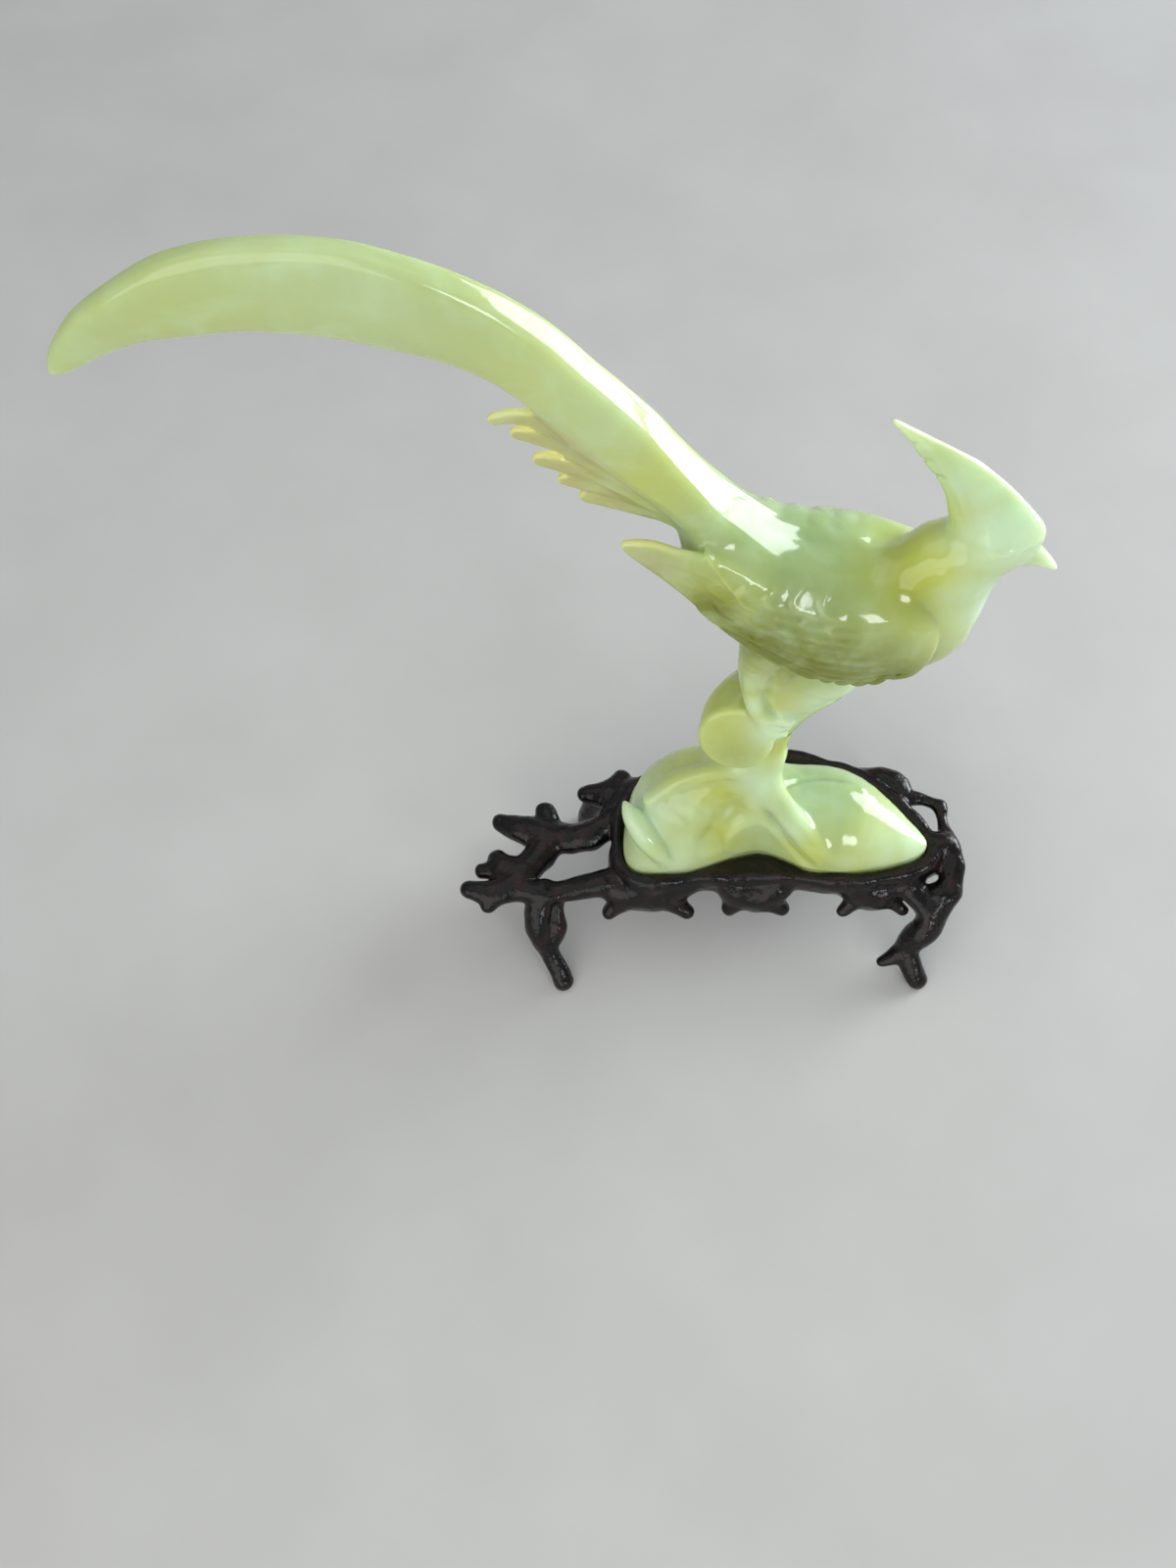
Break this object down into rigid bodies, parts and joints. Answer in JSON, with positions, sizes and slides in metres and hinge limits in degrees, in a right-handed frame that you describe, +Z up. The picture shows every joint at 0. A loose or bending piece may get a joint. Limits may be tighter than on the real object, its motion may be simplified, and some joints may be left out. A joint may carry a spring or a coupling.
{
  "type": "carved jade bird figurine on wood stand",
  "caption": "Crested jade bird with a long arched tail, perched on a rock that sits in a pierced, root-carved dark wood stand.",
  "frame": {"origin": "on the floor, under the middle of the bounding box", "axes": "+X the way that the bird faces, +Y to the bird's left, +Z up"},
  "size_m": [0.2022, 0.0638, 0.2382],
  "materials": {
    "jade": "polished, translucent pale yellow-green",
    "dark_wood": "semi-gloss black-brown lacquer"
  },
  "bodies": {
    "root": {"jade_bird": "jade", "wood_stand": "dark_wood"}
  },
  "joints": []
}
